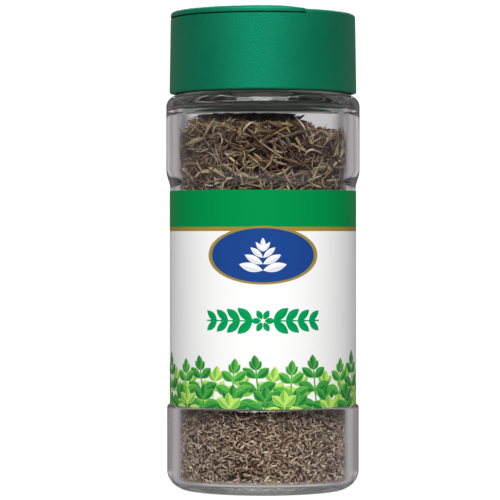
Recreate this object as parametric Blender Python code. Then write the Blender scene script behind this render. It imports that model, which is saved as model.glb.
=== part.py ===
"""A round glass spice jar of dried thyme, with a paper label and a green flip-top screw cap.

Metres, +Z up. The origin is the centre of the base, on the surface that the jar stands on, and the
front of the label faces -Y. Every round piece is turned about the Z axis.
"""

import math
import random

import bmesh
import bpy
from mathutils import Matrix, Vector

# Turned pieces
ROUND_SEGMENTS = 48
EPSILON = 1e-6

# Jar, outside
PUNT_HEIGHT = 0.0008
PUNT_RADIUS = 0.0142
BEARING_INNER_RADIUS = 0.0156
HEEL_RADIUS = 0.0046
LOWER_BEAD_RADIUS = 0.02297
LOWER_BEAD_TOP = 0.0187
PANEL_RADIUS = 0.02182
PANEL_BOTTOM = 0.0201
PANEL_TOP = 0.0716
UPPER_BEAD_RADIUS = 0.02317
UPPER_BEAD_BOTTOM = 0.0762
SHOULDER_CORNER_RADIUS = 0.0028
SHOULDER_TOP = 0.0941
NECK_RADIUS = 0.0197
RIM_TOP = 0.1100
RIM_ROUNDING = 0.0006

# Jar, inside
FLOOR_HEIGHT = 0.0026
FLOOR_CORNER_RADIUS = 0.0025
CAVITY_BOTTOM_RADIUS = 0.01975
CAVITY_TOP_RADIUS = 0.02010
BORE_RADIUS = 0.0170
BORE_BOTTOM = 0.0919

# Screw thread, one right-hand start on the neck and one in the cap
THREAD_PITCH = 0.0040
THREAD_TURNS = 1.25
THREAD_STEPS_A_TURN = 32
THREAD_RUN_OUT_STEPS = 3
THREAD_ROOT_SUNK = 0.0003
NECK_THREAD_START = 0.1010
NECK_THREAD_CREST_RADIUS = 0.0207
CAP_THREAD_CREST_RADIUS = 0.02035
THREAD_ROOT_WIDTH = 0.0018
THREAD_CREST_WIDTH = 0.0010

# Label
LABEL_RADIUS = 0.02234
LABEL_THICKNESS = 0.00025
LABEL_BOTTOM = 0.0204
LABEL_TOP = 0.0712
OVERLAP_WIDTH = 0.0060
OVERLAP_STEP = 0.00010

# Cap
SKIRT_BOTTOM = 0.0945
SKIRT_BOTTOM_RADIUS = 0.02238
SKIRT_TOP_RADIUS = 0.02210
SKIRT_INNER_RADIUS = 0.0211
SKIRT_CHAMFER = 0.0004
DECK_UNDERSIDE = 0.1111
DECK_TOP = 0.1123
FIXED_TOP = 0.1134
EDGE_ROUNDING = 0.0009

# Flap, a D-shaped plate on a living hinge
FLAP_BOTTOM = 0.1126
FLAP_TOP = 0.1140
FLAP_DIRECTION_DEG = -140.0
HINGE_OFFSET = 0.0050
HINGE_GAP = 0.0003
FLAP_SLOPE_LENGTH = 0.0064
DECK_RIM_BEVEL = 0.00035

# Sifter holes in the deck, and the flap's pins that plug them
HOLE_RADIUS = 0.0018
HOLE_RING_RADIUS = 0.0046
HOLE_RING_COUNT = 6
HOLE_GROUP_OFFSET = 0.0112
HOLE_SIDES = 16
PIN_ROOT_RADIUS = 0.00145
PIN_TIP_RADIUS = 0.0011
PIN_LENGTH = 0.0009
PIN_SIDES = 12

# Liner ring between the rim and the deck
LINER_BOTTOM = 0.1103
LINER_TOP = 0.1108
LINER_INNER_RADIUS = 0.0174
LINER_OUTER_RADIUS = 0.0205

# Thyme: a core, and leaves larger than life that stand out of it
CORE_SEGMENTS = 32
CORE_RADIUS = 0.0186
CORE_BOTTOM = 0.0031
CORE_CORNER = 0.0024
HEAP_FRONT_HEIGHT = 0.0858
HEAP_BACK_RISE = 0.0044
HEAP_RIGHT_FALL_START = 0.0065
HEAP_RIGHT_FALL_END = 0.0134
HEAP_LEFT_START = -0.0150
HEAP_LEFT_SLOPE = 0.75
FILL_CLEARANCE = 0.00035
LEAF_THICKNESS = 0.0013
WALL_LEAF_SIZE = (0.0090, 0.0026)
TOP_LEAF_SIZE = (0.0088, 0.0026)
CRUMB_SIZE = (0.0066, 0.0023)
WALL_LEAF_COUNT = 88
TOP_LEAF_COUNT = 54
CRUMB_COUNT = 96
LABEL_OVERLOOK = 0.0015
RANDOM_SEED = 2

FLAP_TURN = math.radians(FLAP_DIRECTION_DEG)
FLAP_OUTWARD = Vector((math.cos(FLAP_TURN), math.sin(FLAP_TURN), 0.0))
HINGE_POINT = FLAP_OUTWARD * HINGE_OFFSET + Vector((0.0, 0.0, FIXED_TOP))


def clear_scene():
    for found in list(bpy.data.objects):
        bpy.data.objects.remove(found, do_unlink=True)


def material(name, colour, roughness, transmission=0.0):
    """One Principled material."""
    made = bpy.data.materials.new(name)
    made.use_nodes = True
    shader = made.node_tree.nodes["Principled BSDF"]
    shader.inputs["Base Color"].default_value = (*colour, 1.0)
    shader.inputs["Roughness"].default_value = roughness
    shader.inputs["Metallic"].default_value = 0.0
    shader.inputs["Transmission Weight"].default_value = transmission
    return made


def arc(centre, radius, start_deg, end_deg, steps):
    """Points of a circular arc in the (radius, height) plane, both ends included."""
    turns = [math.radians(start_deg + (end_deg - start_deg) * i / steps) for i in range(steps + 1)]
    return [(centre[0] + radius * math.cos(t), centre[1] + radius * math.sin(t)) for t in turns]


def ease(start, end, steps):
    """Points of an S-shaped blend whose ends run straight up."""
    points = []
    for i in range(steps + 1):
        share = i / steps
        blend = 0.5 - 0.5 * math.cos(math.pi * share)
        points.append((start[0] + (end[0] - start[0]) * blend, start[1] + (end[1] - start[1]) * share))
    return points


def turned(profile, closed, segments=ROUND_SEGMENTS):
    """A bmesh of a (radius, height) profile turned about Z. An open profile ends on the axis."""
    shape = bmesh.new()
    ring = [shape.verts.new((r, 0.0, z)) for r, z in profile]
    pairs = list(zip(ring, ring[1:]))
    if closed:
        pairs.append((ring[-1], ring[0]))
    edges = [shape.edges.new(pair) for pair in pairs]
    bmesh.ops.spin(
        shape,
        geom=ring + edges,
        cent=(0.0, 0.0, 0.0),
        axis=(0.0, 0.0, 1.0),
        angle=2.0 * math.pi,
        steps=segments,
        use_merge=True,
    )
    bmesh.ops.remove_doubles(shape, verts=shape.verts, dist=EPSILON)
    bmesh.ops.recalc_face_normals(shape, faces=shape.faces)
    return shape


def new_object(name, shape, finish=None):
    """Turns a bmesh into an object of its own, shaded smooth with its corners kept sharp."""
    mesh = bpy.data.meshes.new(name)
    shape.to_mesh(mesh)
    shape.free()
    if finish:
        mesh.materials.append(finish)
        mesh.shade_smooth()
        mesh.set_sharp_from_angle(angle=math.radians(35.0))
    made = bpy.data.objects.new(name, mesh)
    bpy.context.scene.collection.objects.link(made)
    return made


def helper(name, shape):
    """An object that only cuts or joins another one."""
    made = new_object(name, shape)
    made.hide_render = True
    made.display_type = "WIRE"
    return made


def combine(target, other, operation):
    step = target.modifiers.new(other.name, "BOOLEAN")
    step.operation = operation
    step.object = other


def box_along_flap(low, high):
    """A box bmesh from low to high, in axes of (away from the hinge, along it, up) at the Z axis."""
    shape = bmesh.new()
    size = [high[i] - low[i] for i in range(3)]
    middle = [(high[i] + low[i]) / 2.0 for i in range(3)]
    bmesh.ops.create_cube(shape, size=1.0, matrix=Matrix.Diagonal((*size, 1.0)))
    bmesh.ops.translate(shape, verts=shape.verts, vec=middle)
    bmesh.ops.rotate(shape, verts=shape.verts, matrix=Matrix.Rotation(FLAP_TURN, 3, "Z"))
    return shape


def thread_ridge(root_radius, crest_radius, start_height):
    """A helical ridge of trapezoid section, which runs out to nothing at both ends."""
    shape = bmesh.new()
    steps = round(THREAD_TURNS * THREAD_STEPS_A_TURN)
    outward = 1.0 if crest_radius > root_radius else -1.0
    sunk_radius = root_radius - outward * THREAD_ROOT_SUNK
    sections = []
    for i in range(steps + 1):
        turn = 2.0 * math.pi * i / THREAD_STEPS_A_TURN
        height = start_height + THREAD_PITCH * i / THREAD_STEPS_A_TURN
        rise = min(1.0, i / THREAD_RUN_OUT_STEPS, (steps - i) / THREAD_RUN_OUT_STEPS)
        crest = sunk_radius + (crest_radius - sunk_radius) * (0.1 + 0.9 * rise)
        corners = [
            (sunk_radius, -THREAD_ROOT_WIDTH / 2.0),
            (crest, -THREAD_CREST_WIDTH / 2.0),
            (crest, THREAD_CREST_WIDTH / 2.0),
            (sunk_radius, THREAD_ROOT_WIDTH / 2.0),
        ]
        sections.append(
            [
                shape.verts.new((r * math.cos(turn), r * math.sin(turn), height + lift))
                for r, lift in corners
            ]
        )
    for one, two in zip(sections, sections[1:]):
        for i in range(4):
            shape.faces.new((one[i], one[(i + 1) % 4], two[(i + 1) % 4], two[i]))
    shape.faces.new(sections[0])
    shape.faces.new(list(reversed(sections[-1])))
    bmesh.ops.recalc_face_normals(shape, faces=shape.faces)
    return shape


def hole_centres():
    """The sifter holes' centres on the deck: one in the middle of a ring of six."""
    middle = FLAP_OUTWARD * HOLE_GROUP_OFFSET
    centres = [middle]
    for i in range(HOLE_RING_COUNT):
        turn = FLAP_TURN + 2.0 * math.pi * (i + 0.5) / HOLE_RING_COUNT
        centres.append(middle + HOLE_RING_RADIUS * Vector((math.cos(turn), math.sin(turn), 0.0)))
    return centres


def cones_at_holes(low_radius, high_radius, bottom, top, sides):
    """One bmesh of a cone or cylinder at each hole."""
    shape = bmesh.new()
    for centre in hole_centres():
        bmesh.ops.create_cone(
            shape,
            cap_ends=True,
            segments=sides,
            radius1=low_radius,
            radius2=high_radius,
            depth=top - bottom,
            matrix=Matrix.Translation((centre.x, centre.y, (bottom + top) / 2.0)),
        )
    return shape


def make_jar_glass():
    """Pressed clear glass: base, beads, label panel, shoulder, neck and thread in one piece."""
    heel_centre = (LOWER_BEAD_RADIUS - HEEL_RADIUS, HEEL_RADIUS)
    shoulder_centre = (
        UPPER_BEAD_RADIUS - SHOULDER_CORNER_RADIUS,
        SHOULDER_TOP - SHOULDER_CORNER_RADIUS,
    )
    inner_shoulder_radius = CAVITY_TOP_RADIUS - BORE_RADIUS
    inner_shoulder_centre = (BORE_RADIUS, BORE_BOTTOM - inner_shoulder_radius)
    floor_centre = (
        CAVITY_BOTTOM_RADIUS - FLOOR_CORNER_RADIUS,
        FLOOR_HEIGHT + FLOOR_CORNER_RADIUS,
    )
    profile = [(0.0, PUNT_HEIGHT), (PUNT_RADIUS, PUNT_HEIGHT), (BEARING_INNER_RADIUS, 0.0)]
    profile += arc(heel_centre, HEEL_RADIUS, -90.0, 0.0, 5)
    profile += ease((LOWER_BEAD_RADIUS, LOWER_BEAD_TOP), (PANEL_RADIUS, PANEL_BOTTOM), 4)
    profile += ease((PANEL_RADIUS, PANEL_TOP), (UPPER_BEAD_RADIUS, UPPER_BEAD_BOTTOM), 5)
    profile += arc(shoulder_centre, SHOULDER_CORNER_RADIUS, 0.0, 90.0, 5)
    profile += [(NECK_RADIUS, SHOULDER_TOP)]
    profile += arc((NECK_RADIUS - RIM_ROUNDING, RIM_TOP - RIM_ROUNDING), RIM_ROUNDING, 0.0, 90.0, 2)
    profile += arc((BORE_RADIUS + RIM_ROUNDING, RIM_TOP - RIM_ROUNDING), RIM_ROUNDING, 90.0, 180.0, 2)
    profile += arc(inner_shoulder_centre, inner_shoulder_radius, 90.0, 0.0, 4)
    profile += arc(floor_centre, FLOOR_CORNER_RADIUS, 0.0, -90.0, 3)
    profile += [(0.0, FLOOR_HEIGHT)]
    glass = material("clear_glass", (0.92, 0.93, 0.92), 0.02, transmission=1.0)
    jar = new_object("jar_glass", turned(profile, closed=False), glass)
    ridge = thread_ridge(NECK_RADIUS, NECK_THREAD_CREST_RADIUS, NECK_THREAD_START)
    combine(jar, helper("neck_thread_ridge", ridge), "UNION")
    return jar


def make_label():
    """Paper wrapped once round the panel, with one ply of overlap at the back."""
    inner = LABEL_RADIUS - LABEL_THICKNESS
    profile = [(inner, LABEL_BOTTOM), (LABEL_RADIUS, LABEL_BOTTOM), (LABEL_RADIUS, LABEL_TOP)]
    profile += [(inner, LABEL_TOP)]
    shape = turned(profile, closed=True)
    half_turn = OVERLAP_WIDTH / LABEL_RADIUS / 2.0
    for vertex in shape.verts:
        radius = math.hypot(vertex.co.x, vertex.co.y)
        from_back = abs(math.atan2(vertex.co.x, vertex.co.y))
        if from_back < half_turn and radius > LABEL_RADIUS - EPSILON:
            vertex.co.x *= (LABEL_RADIUS + OVERLAP_STEP) / LABEL_RADIUS
            vertex.co.y *= (LABEL_RADIUS + OVERLAP_STEP) / LABEL_RADIUS
    return new_object("label", shape, material("label_paper", (0.86, 0.87, 0.86), 0.45))


def make_liner_ring():
    """The sealing ring that the deck presses on the jar's rim."""
    profile = [
        (LINER_INNER_RADIUS, LINER_BOTTOM),
        (LINER_OUTER_RADIUS, LINER_BOTTOM),
        (LINER_OUTER_RADIUS, LINER_TOP),
        (LINER_INNER_RADIUS, LINER_TOP),
    ]
    finish = material("liner_foam", (0.80, 0.80, 0.77), 0.7)
    return new_object("liner_ring", turned(profile, closed=True), finish)


def make_cap_body(green):
    """The screw cap: skirt, inside thread, sifter deck, and the fixed part of the top."""
    profile = [
        (0.0, DECK_UNDERSIDE),
        (SKIRT_INNER_RADIUS, DECK_UNDERSIDE),
        (SKIRT_INNER_RADIUS, SKIRT_BOTTOM),
        (SKIRT_BOTTOM_RADIUS - SKIRT_CHAMFER, SKIRT_BOTTOM),
        (SKIRT_BOTTOM_RADIUS, SKIRT_BOTTOM + SKIRT_CHAMFER),
    ]
    profile += arc((SKIRT_TOP_RADIUS - EDGE_ROUNDING, FIXED_TOP - EDGE_ROUNDING), EDGE_ROUNDING, 0.0, 90.0, 4)
    profile += [(0.0, FIXED_TOP)]
    cap = new_object("cap_body", turned(profile, closed=False), green)

    beyond = 2.0 * SKIRT_BOTTOM_RADIUS
    pocket = box_along_flap(
        (HINGE_OFFSET - HINGE_GAP / 2.0, -beyond, DECK_TOP),
        (beyond, beyond, FLAP_TOP + EDGE_ROUNDING),
    )
    combine(cap, helper("flap_pocket_cutter", pocket), "DIFFERENCE")

    holes = cones_at_holes(
        HOLE_RADIUS,
        HOLE_RADIUS,
        DECK_UNDERSIDE - PIN_LENGTH,
        DECK_TOP + PIN_LENGTH,
        HOLE_SIDES,
    )
    combine(cap, helper("sifter_hole_cutter", holes), "DIFFERENCE")

    over = HINGE_GAP
    bevel = turned(
        [
            (SKIRT_TOP_RADIUS - DECK_RIM_BEVEL - over, DECK_TOP + over),
            (SKIRT_TOP_RADIUS + over, DECK_TOP - DECK_RIM_BEVEL - over),
            (SKIRT_TOP_RADIUS + over, DECK_TOP + over),
        ],
        closed=True,
    )
    cut_flat(bevel, FLAP_OUTWARD * (HINGE_OFFSET + HINGE_GAP), -FLAP_OUTWARD)
    combine(cap, helper("finger_bevel_cutter", bevel), "DIFFERENCE")

    ridge = thread_ridge(
        SKIRT_INNER_RADIUS, CAP_THREAD_CREST_RADIUS, NECK_THREAD_START - THREAD_PITCH / 2.0
    )
    combine(cap, helper("cap_thread_ridge", ridge), "UNION")
    return cap


def cut_flat(shape, point, normal):
    """Cuts away what lies past a plane, and closes the cut."""
    bmesh.ops.bisect_plane(
        shape,
        geom=shape.verts[:] + shape.edges[:] + shape.faces[:],
        dist=EPSILON,
        plane_co=point,
        plane_no=normal,
        clear_outer=True,
    )
    open_edges = [edge for edge in shape.edges if edge.is_boundary]
    bmesh.ops.edgeloop_fill(shape, edges=open_edges)
    bmesh.ops.recalc_face_normals(shape, faces=shape.faces)


def make_flap_lid(green):
    """The D-shaped flap, which slopes down to its hinge and plugs the holes with tapered pins."""
    rim_radius = SKIRT_TOP_RADIUS
    profile = [(0.0, FLAP_BOTTOM), (rim_radius, FLAP_BOTTOM)]
    profile += arc((rim_radius - EDGE_ROUNDING, FLAP_TOP - EDGE_ROUNDING), EDGE_ROUNDING, 0.0, 90.0, 4)
    profile += [(0.0, FLAP_TOP)]
    shape = turned(profile, closed=False)
    near_hinge = FLAP_OUTWARD * (HINGE_OFFSET + HINGE_GAP / 2.0)
    cut_flat(shape, near_hinge, -FLAP_OUTWARD)
    slope_top = FLAP_OUTWARD * (HINGE_OFFSET + FLAP_SLOPE_LENGTH) + Vector((0.0, 0.0, FLAP_TOP))
    drop = (FLAP_TOP - FIXED_TOP) / FLAP_SLOPE_LENGTH
    cut_flat(shape, slope_top, (Vector((0.0, 0.0, 1.0)) - drop * FLAP_OUTWARD).normalized())
    flap = new_object("flap_lid", shape, green)

    pins = cones_at_holes(
        PIN_TIP_RADIUS,
        PIN_ROOT_RADIUS,
        FLAP_BOTTOM - PIN_LENGTH,
        FLAP_BOTTOM + HINGE_GAP,
        PIN_SIDES,
    )
    joined = helper("flap_pins", pins)
    combine(flap, joined, "UNION")
    for made in (flap, joined):
        made.data.transform(Matrix.Translation(-HINGE_POINT))
        made.location = HINGE_POINT
    return flap


def heap_height(x, y):
    """The thyme's top: low at the front glass, high at the back, and lower at both sides."""
    depth = min(1.0, max(0.0, (y + CORE_RADIUS) / (2.0 * CORE_RADIUS)))
    across = (x - HEAP_RIGHT_FALL_START) / (HEAP_RIGHT_FALL_END - HEAP_RIGHT_FALL_START)
    kept = 0.5 + 0.5 * math.cos(math.pi * min(1.0, max(0.0, across)))
    back = HEAP_BACK_RISE * (0.5 - 0.5 * math.cos(math.pi * depth)) * kept
    left = HEAP_LEFT_SLOPE * max(0.0, HEAP_LEFT_START - x)
    return HEAP_FRONT_HEIGHT + back - left


def corner_inset(depth, radius):
    """How far a rounded corner comes in from the wall, at a depth past where its round begins."""
    share = min(1.0, max(0.0, depth) / (radius - FILL_CLEARANCE))
    return radius * (1.0 - math.sqrt(1.0 - share * share))


def fill_limit(height):
    """How far out thyme may reach at a height, clear of the glass wall, floor corner and shoulder."""
    wall = CAVITY_BOTTOM_RADIUS + (CAVITY_TOP_RADIUS - CAVITY_BOTTOM_RADIUS) * height / BORE_BOTTOM
    shoulder_radius = CAVITY_TOP_RADIUS - BORE_RADIUS
    floor = corner_inset(FLOOR_HEIGHT + FLOOR_CORNER_RADIUS - height, FLOOR_CORNER_RADIUS)
    shoulder = corner_inset(height - BORE_BOTTOM + shoulder_radius, shoulder_radius)
    return wall - floor - shoulder - FILL_CLEARANCE


def leaf(collection, number, centre, along, out, size):
    """One dried leaf: a spindle of six corners, its middle wider than thick."""
    length, width = size
    side = along.cross(out).normalized()
    shape = bmesh.new()
    corners = [
        centre + along * length / 2.0,
        centre + side * width / 2.0,
        centre + out * LEAF_THICKNESS / 2.0,
        centre - side * width / 2.0,
        centre - out * LEAF_THICKNESS / 2.0,
        centre - along * length / 2.0,
    ]
    verts = []
    for corner in corners:
        corner.z = max(corner.z, CORE_BOTTOM)
        limit = fill_limit(corner.z)
        reach = math.hypot(corner.x, corner.y)
        if reach > limit:
            corner.x *= limit / reach
            corner.y *= limit / reach
        verts.append(shape.verts.new(corner))
    for i in range(4):
        one, two = verts[1 + i], verts[1 + (i + 1) % 4]
        shape.faces.new((verts[0], one, two))
        shape.faces.new((verts[5], two, one))
    bmesh.ops.recalc_face_normals(shape, faces=shape.faces)
    mesh = bpy.data.meshes.new("leaf")
    shape.to_mesh(mesh)
    shape.free()
    collection.objects.link(bpy.data.objects.new(f"leaf_{number}", mesh))


def wall_leaves(collection, draw, first, count, low, high_at, size, steepest):
    """Leaves pressed against the glass, each in its own cell of a spiral, so that they cover evenly."""
    golden = math.pi * (3.0 - math.sqrt(5.0))
    for i in range(count):
        turn = golden * i + draw.uniform(-0.15, 0.15)
        out = Vector((math.cos(turn), math.sin(turn), 0.0))
        high = high_at(out.x * CORE_RADIUS, out.y * CORE_RADIUS)
        height = low + (high - low) * (i + draw.random()) / count
        centre = out * (CORE_RADIUS + draw.uniform(-0.0001, 0.0003)) + Vector((0.0, 0.0, height))
        sideways = Vector((-out.y, out.x, 0.0))
        tilt = math.radians(draw.uniform(-steepest, steepest))
        along = sideways * math.cos(tilt) + Vector((0.0, 0.0, math.sin(tilt)))
        stretch = draw.uniform(0.8, 1.15)
        leaf(collection, first + i, centre, along, out, (size[0] * stretch, size[1]))


def top_leaves(collection, draw, first):
    """Leaves lying loosely on the heap, tipped a little."""
    golden = math.pi * (3.0 - math.sqrt(5.0))
    for i in range(TOP_LEAF_COUNT):
        reach = (CORE_RADIUS - 0.0012) * math.sqrt((i + 0.5) / TOP_LEAF_COUNT)
        x = reach * math.cos(golden * i)
        y = reach * math.sin(golden * i)
        centre = Vector((x, y, heap_height(x, y) + draw.uniform(-0.0006, 0.0000)))
        turn = draw.uniform(0.0, math.pi)
        tip = math.radians(draw.uniform(-22.0, 22.0))
        along = Vector((math.cos(turn) * math.cos(tip), math.sin(turn) * math.cos(tip), math.sin(tip)))
        out = (Vector((0.0, 0.0, 1.0)) - along * along.z).normalized()
        leaf(collection, first + i, centre, along, out, TOP_LEAF_SIZE)


def make_thyme_fill():
    """The dried thyme: a core with leaves half sunk in it wherever the glass shows them."""
    side_bottom = CORE_BOTTOM + CORE_CORNER
    profile = [(0.0, CORE_BOTTOM)]
    profile += arc((CORE_RADIUS - CORE_CORNER, side_bottom), CORE_CORNER, -90.0, 0.0, 2)
    profile += [(CORE_RADIUS, HEAP_FRONT_HEIGHT)]
    profile += [(CORE_RADIUS * share, HEAP_FRONT_HEIGHT) for share in (0.8, 0.55, 0.3)]
    profile += [(0.0, HEAP_FRONT_HEIGHT)]
    shape = turned(profile, closed=False, segments=CORE_SEGMENTS)
    for vertex in shape.verts:
        if vertex.co.z > HEAP_FRONT_HEIGHT - EPSILON:
            vertex.co.z = heap_height(vertex.co.x, vertex.co.y) - LEAF_THICKNESS / 4.0
    fill = new_object("thyme_fill", shape, material("dried_thyme", (0.13, 0.11, 0.07), 0.8))

    draw = random.Random(RANDOM_SEED)
    leaves = bpy.data.collections.new("leaves")
    bpy.context.scene.collection.children.link(leaves)
    wall_leaves(
        leaves, draw, 0, WALL_LEAF_COUNT, LABEL_TOP - LABEL_OVERLOOK, heap_height, WALL_LEAF_SIZE, 55.0
    )
    wall_leaves(
        leaves,
        draw,
        WALL_LEAF_COUNT,
        CRUMB_COUNT,
        side_bottom,
        lambda x, y: LABEL_BOTTOM + LABEL_OVERLOOK,
        CRUMB_SIZE,
        40.0,
    )
    top_leaves(leaves, draw, WALL_LEAF_COUNT + CRUMB_COUNT)

    union = fill.modifiers.new("leaves", "BOOLEAN")
    union.operation = "UNION"
    union.solver = "MANIFOLD"
    union.operand_type = "COLLECTION"
    union.collection = leaves
    bpy.context.view_layer.objects.active = fill
    bpy.ops.object.modifier_apply(modifier=union.name)
    for found in list(leaves.objects):
        bpy.data.objects.remove(found, do_unlink=True)
    bpy.data.collections.remove(leaves)
    return fill


clear_scene()
green_plastic = material("green_plastic", (0.0, 0.245, 0.107), 0.5)
green_flap_plastic = material("green_flap_plastic", (0.0, 0.245, 0.107), 0.5)
make_jar_glass()
make_label()
make_liner_ring()
make_cap_body(green_plastic)
make_flap_lid(green_flap_plastic)
make_thyme_fill()
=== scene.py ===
import math
import random

import bmesh
import bpy
from mathutils import Euler, Matrix, Vector, noise


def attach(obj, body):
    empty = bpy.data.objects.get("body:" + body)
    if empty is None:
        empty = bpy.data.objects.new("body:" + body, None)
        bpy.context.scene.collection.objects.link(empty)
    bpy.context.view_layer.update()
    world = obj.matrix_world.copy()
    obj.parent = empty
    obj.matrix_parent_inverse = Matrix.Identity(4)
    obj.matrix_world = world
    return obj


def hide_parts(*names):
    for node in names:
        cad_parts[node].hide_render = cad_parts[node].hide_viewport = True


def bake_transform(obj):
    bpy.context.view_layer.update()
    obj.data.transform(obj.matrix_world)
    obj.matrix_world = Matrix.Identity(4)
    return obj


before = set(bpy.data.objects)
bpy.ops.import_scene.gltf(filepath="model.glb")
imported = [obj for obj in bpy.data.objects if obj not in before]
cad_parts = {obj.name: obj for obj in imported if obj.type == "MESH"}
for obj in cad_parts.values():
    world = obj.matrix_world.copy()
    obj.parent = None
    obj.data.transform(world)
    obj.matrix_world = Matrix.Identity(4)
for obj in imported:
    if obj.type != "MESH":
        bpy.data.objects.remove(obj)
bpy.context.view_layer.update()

MM = 0.001
TAU = 2.0 * math.pi


# Jar glass
# The pressed clear-glass jar: thick walls, two beads with the label panel between them, a rounded
# shoulder, and the neck with its screw thread. It is turned from its profile and holds everything.
class Wire:
    """A socket of a material's node tree. Arithmetic on it adds Math nodes to the tree."""

    def __init__(self, tree, socket=None):
        self.tree = tree
        self.socket = socket

    def node(self, kind, settings=None, inputs=None, output=0):
        """Adds one node, its settings first and then its sockets' values or links."""
        made = self.tree.nodes.new(kind)
        for name, value in (settings or {}).items():
            setattr(made, name, value)
        for key, value in (inputs or {}).items():
            if isinstance(value, Wire):
                self.tree.links.new(value.socket, made.inputs[key])
            else:
                made.inputs[key].default_value = value
        return Wire(self.tree, made.outputs[output])

    def math(self, operation, *values):
        return self.node("ShaderNodeMath", {"operation": operation}, dict(enumerate(values)))

    def __add__(self, other):
        return self.math("ADD", self, other)

    __radd__ = __add__

    def __sub__(self, other):
        return self.math("SUBTRACT", self, other)

    def __rsub__(self, other):
        return self.math("SUBTRACT", other, self)

    def __mul__(self, other):
        return self.math("MULTIPLY", self, other)

    __rmul__ = __mul__

    def __truediv__(self, other):
        return self.math("DIVIDE", self, other)

    def __abs__(self):
        return self.math("ABSOLUTE", self)

    def rise(self, low, high, start=0.0, end=1.0):
        """A smooth step from start to end while this value goes from low to high."""
        settings = {"interpolation_type": "SMOOTHSTEP"}
        return self.node("ShaderNodeMapRange", settings, dict(enumerate((self, low, high, start, end))))

    def mix(self, first, second):
        """The first colour where this value is 0, and the second where it is 1."""
        inputs = {0: self, 6: first, 7: second}
        return self.node("ShaderNodeMix", {"data_type": "RGBA"}, inputs, 2)

    def noise(self, place, scale, detail=2.0, roughness=0.5):
        inputs = {"Vector": place, "Scale": scale, "Detail": detail, "Roughness": roughness}
        return self.node("ShaderNodeTexNoise", None, inputs)


class Finish:
    """A Principled material whose varying sockets are fed by wires."""

    def __init__(self, name, **constants):
        self.material = bpy.data.materials.new(name)
        self.material.use_nodes = True
        self.shader = self.material.node_tree.nodes["Principled BSDF"]
        self.start = Wire(self.material.node_tree)
        self.place = self.start.node("ShaderNodeTexCoord", output=3)
        for socket, value in constants.items():
            self.shader.inputs[socket.replace("_", " ")].default_value = value

    def feed(self, socket, wire):
        self.material.node_tree.links.new(wire.socket, self.shader.inputs[socket])

    def bump(self, height, distance, strength=1.0):
        inputs = {"Strength": strength, "Distance": distance, "Height": height}
        self.feed("Normal", self.start.node("ShaderNodeBump", None, inputs))


def arc(centre, radius, start_deg, end_deg, steps):
    """Points of a circular arc in the (radius, height) plane, both ends included."""
    turns = [math.radians(start_deg + (end_deg - start_deg) * i / steps) for i in range(steps + 1)]
    return [(centre[0] + radius * math.cos(t), centre[1] + radius * math.sin(t)) for t in turns]


def ease(start, end, steps):
    """Points of an S-shaped blend whose ends run straight up."""
    shares = [i / steps for i in range(steps + 1)]
    blends = [0.5 - 0.5 * math.cos(math.pi * share) for share in shares]
    return [
        (start[0] + (end[0] - start[0]) * blend, start[1] + (end[1] - start[1]) * share)
        for share, blend in zip(shares, blends)
    ]


def turned(profile, closed, steps=192):
    """A bmesh of a (radius, height) profile in mm, turned about Z. An open profile ends on the axis."""
    shape = bmesh.new()
    verts = [shape.verts.new((r * MM, 0.0, z * MM)) for r, z in profile]
    pairs = list(zip(verts, verts[1:])) + [(verts[-1], verts[0])] * closed
    edges = [shape.edges.new(pair) for pair in pairs]
    about = {"cent": (0.0, 0.0, 0.0), "axis": (0.0, 0.0, 1.0), "angle": TAU}
    bmesh.ops.spin(shape, geom=verts + edges, steps=steps, use_merge=True, **about)
    bmesh.ops.remove_doubles(shape, verts=shape.verts, dist=1e-6)
    bmesh.ops.recalc_face_normals(shape, faces=shape.faces)
    return shape


def thread_ridge(root_radius, crest_radius, start_height):
    """A helical ridge of trapezoid section, in mm, one and a quarter turns long."""
    turns, pitch, steps, sunk = 1.25, 4.0, 120, 0.3
    outward = 1.0 if crest_radius > root_radius else -1.0
    root = root_radius - outward * sunk
    corners = [(root, -0.9), (crest_radius, -0.5), (crest_radius, 0.5), (root, 0.9)]
    shape = bmesh.new()
    verts = [shape.verts.new((r * MM, 0.0, (start_height + lift) * MM)) for r, lift in corners]
    face = shape.faces.new(verts)
    about = {"cent": (0.0, 0.0, 0.0), "axis": (0.0, 0.0, 1.0), "angle": TAU * turns}
    climb = (0.0, 0.0, turns * pitch / steps * MM)
    bmesh.ops.spin(shape, geom=[face] + face.edges[:] + verts, steps=steps, dvec=climb, **about)
    bmesh.ops.remove_doubles(shape, verts=shape.verts, dist=1e-7)
    bmesh.ops.recalc_face_normals(shape, faces=shape.faces)
    return shape


def piece(name, shape, finish, sharp_deg=32.0):
    """Turns a bmesh into a shown object, shaded smooth with its corners kept sharp."""
    mesh = bpy.data.meshes.new(name)
    shape.to_mesh(mesh)
    shape.free()
    mesh.materials.append(finish.material)
    mesh.shade_smooth()
    mesh.set_sharp_from_angle(angle=math.radians(sharp_deg))
    made = bpy.data.objects.new(name, mesh)
    bpy.context.scene.collection.objects.link(made)
    return made


def applied(target, modifier):
    bpy.context.view_layer.objects.active = target
    bpy.ops.object.modifier_apply(modifier=modifier.name)


def settle_shading(target):
    """Lets the broad faces set the shading at their edges, so that straight walls shade as straight."""
    step = target.modifiers.new("shading", "WEIGHTED_NORMAL")
    step.weight = 100
    step.keep_sharp = True
    applied(target, step)


def combine(target, shape, operation):
    """Joins a bmesh to a piece, or cuts it away, by one Boolean."""
    mesh = bpy.data.meshes.new("other")
    shape.to_mesh(mesh)
    shape.free()
    other = bpy.data.objects.new("other", mesh)
    bpy.context.scene.collection.objects.link(other)
    step = target.modifiers.new("step", "BOOLEAN")
    step.operation = operation
    step.object = other
    applied(target, step)
    bpy.data.objects.remove(other, do_unlink=True)


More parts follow.
